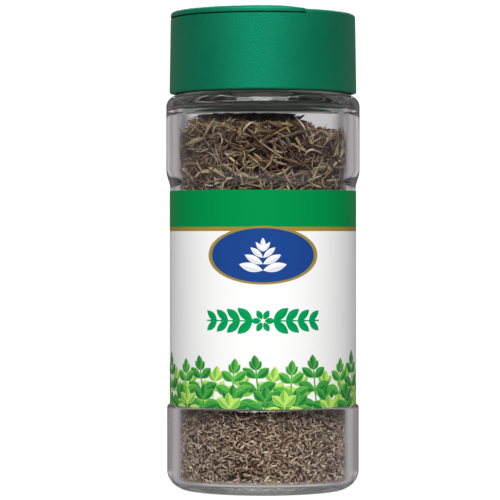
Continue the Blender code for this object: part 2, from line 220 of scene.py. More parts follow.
PUNT_HEIGHT = 0.8
HEEL_ROUNDING = 4.6
LOWER_BEAD_RADIUS = 22.97
LOWER_BEAD_SHOULDER = 19.5
GLASS_PANEL_RADIUS = 22.22
PANEL_TOP = 71.7
UPPER_BEAD_BOTTOM = 76.2
SHOULDER_RADIUS = 23.17
SHOULDER_ROUNDING = 2.8
SHOULDER_TOP = 94.1
NECK_RADIUS = 19.7
NECK_FILLET = 0.25
NECK_THREAD_START = 101.0
RIM_TOP = 110.0
RIM_ROUNDING = 0.6
BORE_RADIUS = 17.0
BORE_BOTTOM = 91.9
BORE_EDGE = 0.5
CAVITY_TOP_RADIUS = 20.10
CAVITY_TOP = 88.8
CAVITY_SHOULDER_ROUNDING = 3.1
CAVITY_BOTTOM_RADIUS = 19.75
CAVITY_FLOOR_ROUNDING = 1.3
FLOOR_HEIGHT = 2.6

glass_tint = (0.985, 0.98, 0.985, 1.0)
glass = Finish("clear_glass", Base_Color=glass_tint, Roughness=0.0, IOR=1.5, Transmission_Weight=1.0)
waves = glass.start.noise(glass.place, 55.0, 1.0)
foot = glass.start.node("ShaderNodeSeparateXYZ", None, {0: glass.place}, 2)
stipple = glass.start.noise(glass.place, 1500.0, 1.0) * (0.0 - foot).rise(-0.0022, -0.0008)
glass.bump(waves + stipple * 0.5, 0.00025, 0.35)

bead_rounding = LOWER_BEAD_RADIUS - GLASS_PANEL_RADIUS
heel = (LOWER_BEAD_RADIUS - HEEL_ROUNDING, HEEL_ROUNDING)
shoulder = (SHOULDER_RADIUS - SHOULDER_ROUNDING, SHOULDER_TOP - SHOULDER_ROUNDING)
neck_foot = (NECK_RADIUS + NECK_FILLET, SHOULDER_TOP + NECK_FILLET)
rim_outside = (NECK_RADIUS - RIM_ROUNDING, RIM_TOP - RIM_ROUNDING)
rim_inside = (BORE_RADIUS + RIM_ROUNDING, RIM_TOP - RIM_ROUNDING)
bore_foot = (BORE_RADIUS + BORE_EDGE, BORE_BOTTOM + BORE_EDGE)
inner_shoulder = (CAVITY_TOP_RADIUS - CAVITY_SHOULDER_ROUNDING, CAVITY_TOP)
inner_corner = (CAVITY_BOTTOM_RADIUS - CAVITY_FLOOR_ROUNDING, FLOOR_HEIGHT + CAVITY_FLOOR_ROUNDING)

jar_profile = [(0.0, PUNT_HEIGHT), (13.4, PUNT_HEIGHT)]
jar_profile += ease((14.2, 0.7), (15.9, 0.0), 5)
jar_profile += arc(heel, HEEL_ROUNDING, -90.0, 0.0, 14)
jar_profile += arc((GLASS_PANEL_RADIUS, LOWER_BEAD_SHOULDER), bead_rounding, 0.0, 90.0, 8)
jar_profile += ease((GLASS_PANEL_RADIUS, PANEL_TOP), (SHOULDER_RADIUS, UPPER_BEAD_BOTTOM), 12)
jar_profile += arc(shoulder, SHOULDER_ROUNDING, 0.0, 90.0, 14)
jar_profile += arc(neck_foot, NECK_FILLET, -90.0, -180.0, 4)
jar_profile += arc(rim_outside, RIM_ROUNDING, 0.0, 90.0, 5)
jar_profile += arc(rim_inside, RIM_ROUNDING, 90.0, 180.0, 5)
jar_profile += arc(bore_foot, BORE_EDGE, 180.0, 270.0, 3)[1:-1]
jar_profile += arc(inner_shoulder, CAVITY_SHOULDER_ROUNDING, 78.0, 0.0, 10)
jar_profile += arc(inner_corner, CAVITY_FLOOR_ROUNDING, 0.0, -90.0, 8)
jar_profile += [(0.0, FLOOR_HEIGHT)]
jar_glass = piece("jar_glass_wall", turned(jar_profile, closed=False, steps=256), glass)
combine(jar_glass, thread_ridge(NECK_RADIUS, NECK_RADIUS + 1.0, NECK_THREAD_START), "UNION")
settle_shading(jar_glass)
jar_glass.visible_diffuse = False
jar_glass.visible_shadow = False
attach(jar_glass, "jar")
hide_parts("jar_glass")


# Thyme
# Dried thyme, rubbed from its stems: thousands of small rolled leaves, some bits of stem, and finer
# crumbs that have worked down to the bottom. They lie as one heap in the jar, thick at the glass.
HEAP_CORE_RADIUS = 18.7
HEAP_FRONT_HEIGHT = 85.8
HEAP_BACK_RISE = 4.4
LEAVES_FROM = 68.0
CRUMBS_TO = 21.4
GLASS_CLEARANCE = 0.07
GOLDEN_TURN = math.pi * (3.0 - math.sqrt(5.0))
random_draw = random.Random(41)


def heap_height(x, y):
    """The heap's top in mm: low at the front glass, high at the back, and lower at both sides."""
    depth = min(1.0, max(0.0, (y + HEAP_CORE_RADIUS) / (2.0 * HEAP_CORE_RADIUS)))
    across = min(1.0, max(0.0, (x - 5.0) / 8.0))
    kept = 0.5 + 0.5 * math.cos(math.pi * across)
    back = HEAP_BACK_RISE * (0.5 - 0.5 * math.cos(math.pi * depth)) * kept
    bumps = 0.9 * noise.noise(Vector((x, y, 4.0)) / 6.0)
    return HEAP_FRONT_HEIGHT + back - 1.1 * max(0.0, -15.0 - x) - 0.22 * max(0.0, x - 8.0) + bumps


def wall_limit(height):
    """How far out a leaf may reach at a height in mm, just clear of the glass."""
    wall = CAVITY_BOTTOM_RADIUS + (CAVITY_TOP_RADIUS - CAVITY_BOTTOM_RADIUS) * height / CAVITY_TOP
    into_floor = min(1.0, max(0.0, inner_corner[1] - height) / CAVITY_FLOOR_ROUNDING)
    into_shoulder = min(1.0, max(0.0, height - CAVITY_TOP) / CAVITY_SHOULDER_ROUNDING)
    wall -= CAVITY_FLOOR_ROUNDING * (1.0 - math.sqrt(1.0 - into_floor**2))
    wall -= CAVITY_SHOULDER_ROUNDING * (1.0 - math.sqrt(1.0 - into_shoulder**2))
    return wall - GLASS_CLEARANCE


def leaf_template(curl_deg, twist_deg, fold, rings):
    """One rolled leaf of unit length along X: a thin folded blade that tapers to both ends."""
    shape = bmesh.new()
    bmesh.ops.create_uvsphere(shape, u_segments=4, v_segments=rings, radius=0.5)
    radius = 1.0 / math.radians(curl_deg)
    for vert in shape.verts:
        across, lift, along = vert.co
        taper = 1.0 - 0.9 * abs(along)
        blade = Vector((0.0, across * 0.17, abs(across) * 0.17 * fold + lift * 0.055)) * taper
        blade = Matrix.Rotation(math.radians(twist_deg) * along, 3, "X") @ blade
        out = radius + blade.z
        vert.co = Vector((out * math.sin(along / radius), blade.y, out * math.cos(along / radius) - radius))
    bmesh.ops.recalc_face_normals(shape, faces=shape.faces)
    # A strongly curled leaf can come out of that inside out.
    if shape.calc_volume(signed=True) < 0.0:
        bmesh.ops.reverse_faces(shape, faces=shape.faces)
    mesh = bpy.data.meshes.new("leaf")
    shape.to_mesh(mesh)
    shape.free()
    mesh.attributes.new("tone", "FLOAT", "POINT")
    return mesh


def stem_template(bend):
    """One bit of stem of unit length along X: a thin five-sided rod, bent a little."""
    shape = bmesh.new()
    ring = bmesh.ops.create_circle(shape, segments=5, radius=0.035, cap_ends=True)["verts"]
    bmesh.ops.rotate(shape, verts=ring, matrix=Matrix.Rotation(math.radians(90.0), 3, "Y"))
    bmesh.ops.translate(shape, verts=ring, vec=(-0.5, 0.0, 0.0))
    face = shape.faces[:]
    for _ in range(4):
        face = bmesh.ops.extrude_face_region(shape, geom=face)["geom"]
        verts = [found for found in face if isinstance(found, bmesh.types.BMVert)]
        bmesh.ops.translate(shape, verts=verts, vec=(0.25, 0.0, 0.0))
        face = [found for found in face if isinstance(found, bmesh.types.BMFace)]
    caps = [found for found in shape.faces if len(found.verts) == 5]
    inner = [found for found in caps if abs(found.calc_center_median().x) < 0.49]
    bmesh.ops.delete(shape, geom=inner, context="FACES_ONLY")
    for vert in shape.verts:
        vert.co.z += bend * (vert.co.x * vert.co.x - 0.25)
        vert.co.y += 0.4 * bend * vert.co.x**3
    bmesh.ops.recalc_face_normals(shape, faces=shape.faces)
    mesh = bpy.data.meshes.new("stem")
    shape.to_mesh(mesh)
    shape.free()
    mesh.attributes.new("tone", "FLOAT", "POINT")
    return mesh


# Curl and twist of each kind of leaf in degrees, and how deep its blade is folded.
LEAF_KINDS = (
    (30.0, 15.0, 0.9),
    (62.0, -35.0, 0.7),
    (95.0, 25.0, 1.1),
    (-55.0, 60.0, 0.8),
    (-85.0, -25.0, 1.2),
    (130.0, 40.0, 0.6),
    (-120.0, 50.0, 0.9),
    (165.0, -30.0, 0.8),
    (45.0, 120.0, 0.5),
)
leaf_templates = [leaf_template(*kind, 7) for kind in LEAF_KINDS]
crumb_templates = [leaf_template(*kind, 4) for kind in LEAF_KINDS]
stem_templates = [stem_template(bend) for bend in (0.2, 0.45, -0.32, 0.7)]


def scatter(shape, templates, size, width, place, tilt_deg):
    """Adds one leaf or stem to a bmesh, at a place and in the plane of the surface it lies on."""
    centre, outward, lean = place
    sideways = Vector((-outward.y, outward.x, 0.0)) if abs(outward.z) < 0.5 else Vector((1.0, 0.0, 0.0))
    turn = math.radians(lean)
    along = sideways * math.cos(turn) + outward.cross(sideways) * math.sin(turn)
    basis = Matrix((along, outward.cross(along), outward)).transposed()
    tilts = [math.radians(random_draw.uniform(-tilt_deg, tilt_deg)) for _ in range(2)]
    roll = math.radians(random_draw.uniform(-180.0, 180.0))
    spin = basis @ Euler((0.0, *tilts)).to_matrix() @ Matrix.Rotation(roll, 3, "X")
    copy = random_draw.choice(templates).copy()
    copy.transform(Matrix.Diagonal((size * MM, size * width * MM, size * width * MM, 1.0)))
    copy.transform(Matrix.Translation(centre * MM) @ spin.to_4x4())
    tone = [random_draw.random()] * len(copy.vertices)
    copy.attributes["tone"].data.foreach_set("value", tone)
    for vert in copy.vertices:
        vert.co.z = max(vert.co.z, (FLOOR_HEIGHT + GLASS_CLEARANCE) * MM)
        reach = math.hypot(vert.co.x, vert.co.y)
        limit = wall_limit(vert.co.z / MM) * MM
        if reach > limit:
            vert.co.x *= limit / reach
            vert.co.y *= limit / reach
    shape.from_mesh(copy)
    bpy.data.meshes.remove(copy)


def strew(shape, templates, sizes, widths, tilt_deg, places):
    """Scatters one leaf or stem at each place, with its size and width drawn from their ranges."""
    for place in places:
        size = random_draw.uniform(*sizes)
        width = random_draw.uniform(*widths)
        scatter(shape, templates, size, width, place, tilt_deg)


def wall_places(count, low, high_at, layers):
    """Places on the wall of the heap, evenly spread on a spiral, in layers from the inside out."""
    for i in range(count):
        turn = GOLDEN_TURN * i + random_draw.uniform(-0.2, 0.2)
        outward = Vector((math.cos(turn), math.sin(turn), 0.0))
        high = high_at(outward.x * HEAP_CORE_RADIUS, outward.y * HEAP_CORE_RADIUS)
        height = low + (high - low) * ((i * 0.754877) % 1.0)
        reach = HEAP_CORE_RADIUS + layers[0] + (layers[1] - layers[0]) * random_draw.random()
        centre = outward * reach + Vector((0.0, 0.0, height))
        yield centre, outward, random_draw.gauss(0.0, 60.0)


def top_places(count, lift):
    """Places on the top of the heap, evenly spread."""
    for i in range(count):
        reach = 19.2 * math.sqrt((i + 0.5) / count)
        x = reach * math.cos(GOLDEN_TURN * i)
        y = reach * math.sin(GOLDEN_TURN * i)
        centre = Vector((x, y, heap_height(x, y) + random_draw.uniform(-0.5, lift)))
        yield centre, Vector((0.0, 0.0, 1.0)), random_draw.uniform(0.0, 360.0)


def floor_places(count):
    """Places on the glass floor, under the heap."""
    for i in range(count):
        reach = 17.6 * math.sqrt((i + 0.5) / count)
        centre = Vector((reach * math.cos(GOLDEN_TURN * i), reach * math.sin(GOLDEN_TURN * i), 2.9))
        yield centre, Vector((0.0, 0.0, -1.0)), random_draw.uniform(0.0, 360.0)


def herb_finish(name, tones, spread):
    """Dried leaf: each leaf has a tone of its own from a ramp, with fine mottling and a dull surface."""
    made = Finish(name, Roughness=0.85, Specular_IOR_Level=0.2)
    tone = made.start.node("ShaderNodeAttribute", {"attribute_name": "tone"}, None, 2)
    mottle = made.start.noise(made.place, 900.0, 3.0)
    patch = made.start.noise(made.place, 170.0, 2.0)
    region = made.start.noise(made.place, 55.0, 1.0)
    level = tone + (mottle - 0.5) * spread + (patch - 0.5) * 0.25 + (region - 0.5) * 0.45
    ramp = level.node("ShaderNodeValToRGB", None, {"Fac": level})
    stops = ramp.socket.node.color_ramp.elements
    for i, (position, colour) in enumerate(tones):
        stop = stops[i] if i < 2 else stops.new(position)
        stop.position = position
        stop.color = (*colour, 1.0)
    made.feed("Base Color", ramp)
    made.bump(made.start.noise(made.place, 1600.0, 3.0), 0.00006, 0.6)
    return made


rubbed_leaf = herb_finish(
    "rubbed_leaf",
    (
        (0.0, (0.028, 0.011, 0.003)),
        (1.0, (0.470, 0.385, 0.300)),
        (0.25, (0.095, 0.052, 0.027)),
        (0.45, (0.173, 0.113, 0.074)),
        (0.62, (0.230, 0.168, 0.130)),
        (0.74, (0.245, 0.190, 0.105)),
        (0.92, (0.385, 0.300, 0.168)),
    ),
    0.35,
)
fine_leaf = herb_finish(
    "fine_leaf",
    (
        (0.0, (0.265, 0.178, 0.118)),
        (1.0, (0.71, 0.61, 0.48)),
        (0.35, (0.415, 0.303, 0.220)),
        (0.7, (0.490, 0.382, 0.290)),
        (0.9, (0.570, 0.460, 0.340)),
    ),
    0.45,
)
herb_stem = herb_finish(
    "herb_stem",
    (
        (0.0, (0.075, 0.030, 0.018)),
        (1.0, (0.34, 0.27, 0.15)),
        (0.4, (0.170, 0.068, 0.036)),
        (0.75, (0.215, 0.140, 0.060)),
    ),
    0.25,
)
# Painted shade: the core's near-black tones stand for the shade in the deep gaps of the heap.
herb_dust_and_painted_shade = herb_finish(
    "herb_dust_and_painted_shade",
    ((0.0, (0.011, 0.004, 0.001)), (1.0, (0.270, 0.185, 0.128)), (0.45, (0.036, 0.017, 0.006))),
    0.8,
)

# The core stands behind the crumbs, the label and the leaves, and its top follows the heap's.
CORE_TOP = 86.0
CORE_SUNK = 0.6
CORE_STRETCH_FROM = 60.0
core_profile = [(0.0, 3.0), (16.4, 3.0), (18.2, 3.8), (18.75, 5.6)]
core_profile += [(18.9, 6.0 + 14.0 * i / 12) for i in range(13)]
core_profile += [(18.1, 24.0 + 62.0 * i / 46) for i in range(47)]
core_profile += [(18.0 * (1.0 - i / 16), CORE_TOP) for i in range(1, 17)]
core_shape = turned(core_profile, closed=False, steps=128)
for vert in core_shape.verts:
    x, y, z = vert.co / MM
    top = heap_height(x, y) - CORE_SUNK
    if z > CORE_TOP - 0.1:
        z = top
    elif z > CORE_STRETCH_FROM:
        stretch = (top - CORE_STRETCH_FROM) / (CORE_TOP - CORE_STRETCH_FROM)
        z = CORE_STRETCH_FROM + (z - CORE_STRETCH_FROM) * stretch
    swell = 1.0 + 0.014 * noise.noise(Vector((x, y, z)) * 0.7) + 0.008 * noise.noise(Vector((x, y, z)) * 1.9)
    vert.co = Vector((x * swell, y * swell, z)) * MM
thyme_core = piece("thyme_core", core_shape, herb_dust_and_painted_shade, 180.0)
# The core's painted shade is darkest above 45 mm, behind the leaves, and a little less dark among the crumbs
# below.
core_shade_tone = thyme_core.data.attributes.new("tone", "FLOAT", "POINT")
core_shade_tone.data.foreach_set("value", [0.55 * (vert.co.z < 45.0 * MM) for vert in thyme_core.data.vertices])

leaf_shape = bmesh.new()
inner_wall = wall_places(1250, LEAVES_FROM, heap_height, (-0.7, 0.4))
strew(leaf_shape, leaf_templates, (3.2, 6.6), (0.65, 1.1), 20.0, inner_wall)
outer_wall = wall_places(900, LEAVES_FROM, heap_height, (0.4, 1.15))
strew(leaf_shape, leaf_templates, (2.8, 6.6), (0.65, 1.2), 11.0, outer_wall)
strew(leaf_shape, leaf_templates, (3.0, 6.5), (0.6, 1.1), 34.0, top_places(900, 0.7))
thyme_leaves = piece("thyme_leaves", leaf_shape, rubbed_leaf, 180.0)

stem_shape = bmesh.new()
upper_wall = wall_places(110, LEAVES_FROM + 1.0, heap_height, (0.3, 1.0))
strew(stem_shape, stem_templates, (3.5, 9.0), (0.5, 0.9), 6.0, upper_wall)
strew(stem_shape, stem_templates, (3.5, 7.0), (0.5, 0.9), 16.0, top_places(60, 0.6))
lower_wall = wall_places(150, 3.2, lambda x, y: 21.0, (0.6, 1.0))
strew(stem_shape, stem_templates, (1.4, 3.2), (0.9, 1.3), 10.0, lower_wall)
thyme_stems = piece("thyme_stems", stem_shape, herb_stem, 60.0)

crumb_shape = bmesh.new()
crumb_wall = wall_places(7000, 3.0, lambda x, y: CRUMBS_TO, (0.0, 1.1))
strew(crumb_shape, crumb_templates, (0.8, 2.1), (1.2, 2.3), 25.0, crumb_wall)
strew(crumb_shape, crumb_templates, (1.2, 2.6), (0.9, 1.6), 20.0, floor_places(900))
thyme_crumbs = piece("thyme_crumbs", crumb_shape, fine_leaf, 180.0)

for herb in (thyme_core, thyme_leaves, thyme_stems, thyme_crumbs):
    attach(herb, "jar")
    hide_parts("thyme_fill")


# Label
# Coated white paper, printed, wrapped once round the panel and glued, with its last 6 mm lapped over
# its own start at the back. The print is a green band, a gold rule, a plaque and a border of sprigs.
LABEL_RADIUS = 22.34
LABEL_BOTTOM = 20.3
LABEL_TOP = 71.2
PAPER = 0.08
LAP = 6.0
BAND_BOTTOM = 62.6
RULE_BOTTOM = 61.6
PLAQUE_HEIGHT = 56.0
PLAQUE_HALF_WIDTH = 13.5
PLAQUE_HALF_HEIGHT = 6.8
EMBLEM_FOOT = 52.3
GARLAND_HEIGHT = 40.8
PRINT_BLUR = 0.06

label_finish = Finish("label_paper", Specular_IOR_Level=0.04)
label_x, label_y, label_z = (
    label_finish.start.node("ShaderNodeSeparateXYZ", None, {0: label_finish.place}, i) / MM for i in range(3)
)
round_way = label_finish.start.math("ARCTAN2", label_x, 0.0 - label_y) * LABEL_RADIUS


def oval(s, h, root, turn_deg, length, width):
    """How far inside a pointed oval leaf a point is, and which side of its rib it is on."""
    turn = math.radians(turn_deg)
    ds = s - root[0]
    dh = h - root[1]
    along = ds * math.cos(turn) + dh * math.sin(turn)
    across = dh * math.cos(turn) - ds * math.sin(turn)
    share = along / length
    half = share * (1.0 - share) * (2.0 * width)
    return half - abs(across), across, share


def painted(colour, leaf, light, dark, glint):
    """A printed leaf: one half lighter than the other, with a fine pale line inside its edge."""
    inside, across, share = leaf
    halves = across.rise(-0.12, 0.12).mix((*dark, 1.0), (*light, 1.0))
    rim = (0.10 - abs(inside - 0.14)).rise(0.0, 0.08) * 0.55
    return inside.rise(0.0, PRINT_BLUR).mix(colour, rim.mix(halves, (*glint, 1.0)))


paper_white = (0.81, 0.815, 0.81, 1.0)
band_green = (0.0, 0.232, 0.055, 1.0)
rule_gold = (0.300, 0.215, 0.035, 1.0)
plaque_blue = (0.011, 0.052, 0.235, 1.0)

colour = label_finish.start.node("ShaderNodeRGB")
colour.socket.default_value = paper_white


def sprig_row(colour, spacing, shift, base, lean, leaves, tones):
    """A row of upright sprigs round the label: stems with pairs of leaves, and a leaf at each tip."""
    share = round_way / spacing + shift
    cell = share.math("FLOOR", share)
    chance = cell.node("ShaderNodeTexWhiteNoise", {"noise_dimensions": "1D"}, {"W": cell + base})
    h = label_z - base - chance * 1.6
    s = (share - cell - 0.5) * spacing - h * (lean + (chance - 0.5) * 0.16)
    mirrored = abs(s)
    stem_height = leaves[-1][0]
    stem = (0.22 - mirrored).rise(0.0, 0.08) * (stem_height - h).rise(0.0, 0.1)
    colour = stem.mix(colour, (*tones[0], 1.0))
    for height, turn, length, width in leaves[:-1]:
        colour = painted(colour, oval(mirrored, h, (0.0, height), turn, length, width), *tones)
    height, _, length, width = leaves[-1]
    return painted(colour, oval(h, s, (height - 0.5, 0.0), 0.0, length, width), *tones)


# For each leaf on a sprig: its height on the stem, its turn in degrees, and its length and width.
LOW_LEAVES = ((0.6, 18.0, 4.6, 2.5), (2.6, 42.0, 3.9, 2.1), (3.6, 0.0, 3.4, 2.1))
MIDDLE_LEAVES = ((1.2, 12.0, 4.9, 2.6), (4.2, 30.0, 4.4, 2.4), (6.4, 50.0, 3.2, 1.7), (7.4, 0.0, 3.2, 2.0))
TALL_LEAVES = (
    (1.8, 8.0, 4.8, 2.5),
    (5.0, 24.0, 4.9, 2.6),
    (8.0, 38.0, 4.0, 2.2),
    (9.8, 58.0, 2.7, 1.4),
    (10.6, 0.0, 3.4, 2.0),
)
# For each green: the light half of a leaf, its dark half, and the fine line inside its edge.
DEEP = ((0.045, 0.300, 0.050), (0.012, 0.180, 0.035), (0.30, 0.55, 0.12))
FRESH = ((0.085, 0.400, 0.055), (0.022, 0.240, 0.040), (0.42, 0.66, 0.16))
YOUNG = ((0.420, 0.660, 0.120), (0.170, 0.460, 0.060), (0.70, 0.82, 0.32))
# From the rearmost row: spacing, shift, height of the foot, lean, leaves and green.
SPRIG_ROWS = (
    (7.02, 0.30, 18.9, 0.10, MIDDLE_LEAVES, YOUNG),
    (14.04, 0.55, 18.6, -0.10, TALL_LEAVES, DEEP),
    (14.04, 0.05, 17.6, 0.06, TALL_LEAVES, FRESH),
    (7.80, 0.45, 18.2, 0.0, LOW_LEAVES, DEEP),
    (12.76, 0.10, 17.0, -0.08, LOW_LEAVES, YOUNG),
)
for row in SPRIG_ROWS:
    colour = sprig_row(colour, *row)

PRINT_GREEN = ((0.0, 0.300, 0.085), (0.0, 0.270, 0.075), (0.0, 0.285, 0.080))
garland_s = abs(round_way)
garland_h = label_z - GARLAND_HEIGHT
for i in range(4):
    for side in (-1.0, 1.0):
        length = 4.7 - 0.35 * i
        leaf = oval(garland_s, garland_h * side, (2.4 + 2.9 * i, 0.0), 40.0, length, length * 0.46)
        colour = painted(colour, leaf, *PRINT_GREEN)
    berry = 0.62 - abs(garland_s - 3.9 - 2.9 * i) - abs(garland_h)
    colour = berry.rise(0.0, PRINT_BLUR).mix(colour, (*PRINT_GREEN[0], 1.0))
garland_stem = (0.2 - abs(garland_h)).rise(0.0, PRINT_BLUR) * (14.0 - garland_s).rise(0.0, 0.1)
colour = (garland_stem * (garland_s - 2.2).rise(0.0, 0.1)).mix(colour, (*PRINT_GREEN[0], 1.0))
for turn in (0.0, 60.0, 120.0):
    angle = math.radians(turn)
    along = round_way * math.cos(angle) + garland_h * math.sin(angle)
    across = garland_h * math.cos(angle) - round_way * math.sin(angle)
    petal = oval(abs(along), across, (0.35, 0.0), 0.0, 2.5, 1.5)
    colour = painted(colour, petal, *PRINT_GREEN)

colour = label_z.rise(RULE_BOTTOM - 0.05, RULE_BOTTOM + 0.05).mix(colour, rule_gold)
colour = label_z.rise(BAND_BOTTOM - 0.05, BAND_BOTTOM + 0.05).mix(colour, band_green)

plaque_s = round_way / PLAQUE_HALF_WIDTH
plaque_h = (label_z - PLAQUE_HEIGHT) / PLAQUE_HALF_HEIGHT
plaque = plaque_s * plaque_s + plaque_h * plaque_h
colour = (1.0 - plaque).rise(0.0, 0.012).mix(colour, rule_gold)
colour = (0.86 - plaque).rise(0.0, 0.012).mix(colour, plaque_blue)
EMBLEM = ((0.86, 0.86, 0.84), (0.62, 0.64, 0.68), (0.86, 0.86, 0.84))
emblem_h = label_z - EMBLEM_FOOT
for i in range(4):
    size = 5.8 - 1.0 * i
    leaf = oval(abs(round_way), emblem_h, (0.0, 0.2 + 1.45 * i), 14.0 + 13.0 * i, size, size * 0.36)
    colour = painted(colour, leaf, *EMBLEM)
colour = painted(colour, oval(emblem_h, round_way, (5.0, 0.0), 0.0, 2.8, 1.2), *EMBLEM)

fibres = label_finish.start.noise(label_finish.place, 2600.0, 2.0)
out_squared = label_x * label_x + label_y * label_y
printed_side = out_squared.rise((LABEL_RADIUS - 0.6 * PAPER) ** 2, (LABEL_RADIUS - 0.4 * PAPER) ** 2)
label_finish.feed("Base Color", printed_side.mix(paper_white, colour))
label_finish.feed("Roughness", 0.36 + fibres * 0.14)
label_finish.bump(fibres, 0.00002, 0.35)

label_shape = bmesh.new()
label_length = TAU * LABEL_RADIUS + LAP
bmesh.ops.create_grid(label_shape, x_segments=330, y_segments=24, size=0.5)
bmesh.ops.solidify(label_shape, geom=label_shape.faces[:], thickness=-PAPER)
for vert in label_shape.verts:
    length = (vert.co.x + 0.5) * label_length
    height = LABEL_BOTTOM + (vert.co.y + 0.5) * (LABEL_TOP - LABEL_BOTTOM)
    lapped = min(1.0, max(0.0, (length - TAU * LABEL_RADIUS + 1.2) / 1.2))
    radius = LABEL_RADIUS - PAPER + vert.co.z + lapped * PAPER * 1.15
    turn = math.pi / 2.0 - LAP / 2.0 / LABEL_RADIUS + length / LABEL_RADIUS
    vert.co = Vector((radius * math.cos(turn), radius * math.sin(turn), height)) * MM
bmesh.ops.recalc_face_normals(label_shape, faces=label_shape.faces)
label = piece("paper_label", label_shape, label_finish)
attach(label, "jar")
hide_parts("label")


# Liner ring
# A flat ring of white foamed plastic, pressed into the cap, which seals on the jar's rim.
foam = Finish("liner_foam", Roughness=0.75)
cells = foam.start.noise(foam.place, 3000.0, 3.0)
foam.feed("Base Color", cells.rise(0.3, 0.7).mix((0.66, 0.66, 0.62, 1.0), (0.82, 0.82, 0.79, 1.0)))
foam.bump(cells, 0.00005, 0.5)
liner_profile = arc((17.6, 110.5), 0.2, 180.0, 270.0, 2) + arc((20.3, 110.5), 0.2, 270.0, 360.0, 2)
liner_profile += arc((20.3, 110.6), 0.2, 0.0, 90.0, 2) + arc((17.6, 110.6), 0.2, 90.0, 180.0, 2)
liner = piece("foam_liner", turned(liner_profile, closed=True), foam)
settle_shading(liner)
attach(liner, "liner")
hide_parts("liner_ring")


# Cap body
# The screw cap, moulded in green polypropylene with a fine spark-eroded surface: a skirt with the
# thread inside it, the sifter deck with its holes, and the fixed part of the top beside the flap.
SKIRT_BOTTOM = 94.5
DECK_UNDERSIDE = 111.1
DECK_TOP = 112.3
FIXED_TOP = 113.4
FLAP_TURN = math.radians(-140.0)
FLAP_OUTWARD = Vector((math.cos(FLAP_TURN), math.sin(FLAP_TURN), 0.0))
HINGE_OFFSET = 5.0
HINGE_GAP = 0.3
SKIRT_INNER_RADIUS = 21.1
SKIRT_BOTTOM_RADIUS = 22.38
SKIRT_TOP_RADIUS = 22.1
LIP_ROUNDING = 0.4
TOP_EDGE_ROUNDING = 0.9
EDGE_SOFTENING = 0.12
HOLE_GROUP_OFFSET = 11.2
HOLE_RING_RADIUS = 4.6
HOLE_RADIUS = 1.8


def moulded_green(name):
    """Green polypropylene with the fine matt grain of its mould, and faint flow marks."""
    made = Finish(name, IOR=1.6, Specular_IOR_Level=1.0, Specular_Tint=(0.03, 1.0, 0.60, 1.0))
    grain = made.start.noise(made.place, 3400.0, 2.0, 0.6)
    flow = made.start.noise(made.place, 60.0, 2.0)
    tint = (flow * 0.7 + grain * 0.3).rise(0.25, 0.75)
    made.feed("Base Color", tint.mix((0.001, 0.088, 0.040, 1.0), (0.003, 0.106, 0.050, 1.0)))
    made.feed("Roughness", 0.44 + grain * 0.16)
    made.bump(grain, 0.00009, 0.8)
    return made


def box_along_flap(low, high):
    """A box bmesh in mm, in axes of (away from the hinge, along it, up) at the Z axis."""
    shape = bmesh.new()
    size = [(high[i] - low[i]) * MM for i in range(3)]
    middle = [(high[i] + low[i]) / 2.0 * MM for i in range(3)]
    bmesh.ops.create_cube(shape, size=1.0, matrix=Matrix.Diagonal((*size, 1.0)))
    bmesh.ops.translate(shape, verts=shape.verts, vec=middle)
    bmesh.ops.rotate(shape, verts=shape.verts, matrix=Matrix.Rotation(FLAP_TURN, 3, "Z"))
    return shape


def cones_at_holes(low_radius, high_radius, bottom, top):
    """One bmesh of a cone or cylinder at each sifter hole: one in the middle of a ring of six."""
    shape = bmesh.new()
    middle = FLAP_OUTWARD * HOLE_GROUP_OFFSET
    turns = [FLAP_TURN + TAU * (i + 0.5) / 6.0 for i in range(6)]
    ring = [middle + HOLE_RING_RADIUS * Vector((math.cos(t), math.sin(t), 0.0)) for t in turns]
    centres = [middle] + ring
    for centre in centres:
        place = Vector((centre.x, centre.y, (bottom + top) / 2.0)) * MM
        bmesh.ops.create_cone(
            shape,
            cap_ends=True,
            segments=40,
            radius1=low_radius * MM,
            radius2=high_radius * MM,
            depth=(top - bottom) * MM,
            matrix=Matrix.Translation(place),
        )
    return shape


def soften_edges(target, width):
    """Rounds every sharp edge of a piece a little."""
    step = target.modifiers.new("edges", "BEVEL")
    step.width = width * MM
    step.segments = 2
    step.limit_method = "ANGLE"
    step.angle_limit = math.radians(40.0)
    step.harden_normals = False
    applied(target, step)


def cut_flat(shape, point, normal):
    """Cuts away what lies past a plane, and closes the cut."""
    geometry = shape.verts[:] + shape.edges[:] + shape.faces[:]
    plane = {"plane_co": point * MM, "plane_no": normal, "clear_outer": True, "dist": 1e-7}
    bmesh.ops.bisect_plane(shape, geom=geometry, **plane)
    bmesh.ops.edgeloop_fill(shape, edges=[edge for edge in shape.edges if edge.is_boundary])
    bmesh.ops.recalc_face_normals(shape, faces=shape.faces)


cap_profile = [(0.0, DECK_UNDERSIDE), (SKIRT_INNER_RADIUS, DECK_UNDERSIDE)]
cap_profile += [(SKIRT_INNER_RADIUS, SKIRT_BOTTOM + 0.2)]
cap_profile += arc((SKIRT_INNER_RADIUS + 0.2, SKIRT_BOTTOM + 0.2), 0.2, 180.0, 270.0, 2)
lip = (SKIRT_BOTTOM_RADIUS - LIP_ROUNDING, SKIRT_BOTTOM + LIP_ROUNDING)
cap_profile += arc(lip, LIP_ROUNDING, 270.0, 360.0, 4)
fixed_edge = (SKIRT_TOP_RADIUS - TOP_EDGE_ROUNDING, FIXED_TOP - TOP_EDGE_ROUNDING)
cap_profile += arc(fixed_edge, TOP_EDGE_ROUNDING, 0.0, 90.0, 8)
cap_profile += [(0.0, FIXED_TOP)]
cap_green = moulded_green("green_plastic")
cap = piece("moulded_cap", turned(cap_profile, closed=False, steps=256), cap_green, 28.0)
flap_room = box_along_flap((HINGE_OFFSET - HINGE_GAP / 2.0, -50.0, DECK_TOP), (50.0, 50.0, 116.0))
combine(cap, flap_room, "DIFFERENCE")
combine(cap, cones_at_holes(HOLE_RADIUS, HOLE_RADIUS, 110.0, 114.0), "DIFFERENCE")
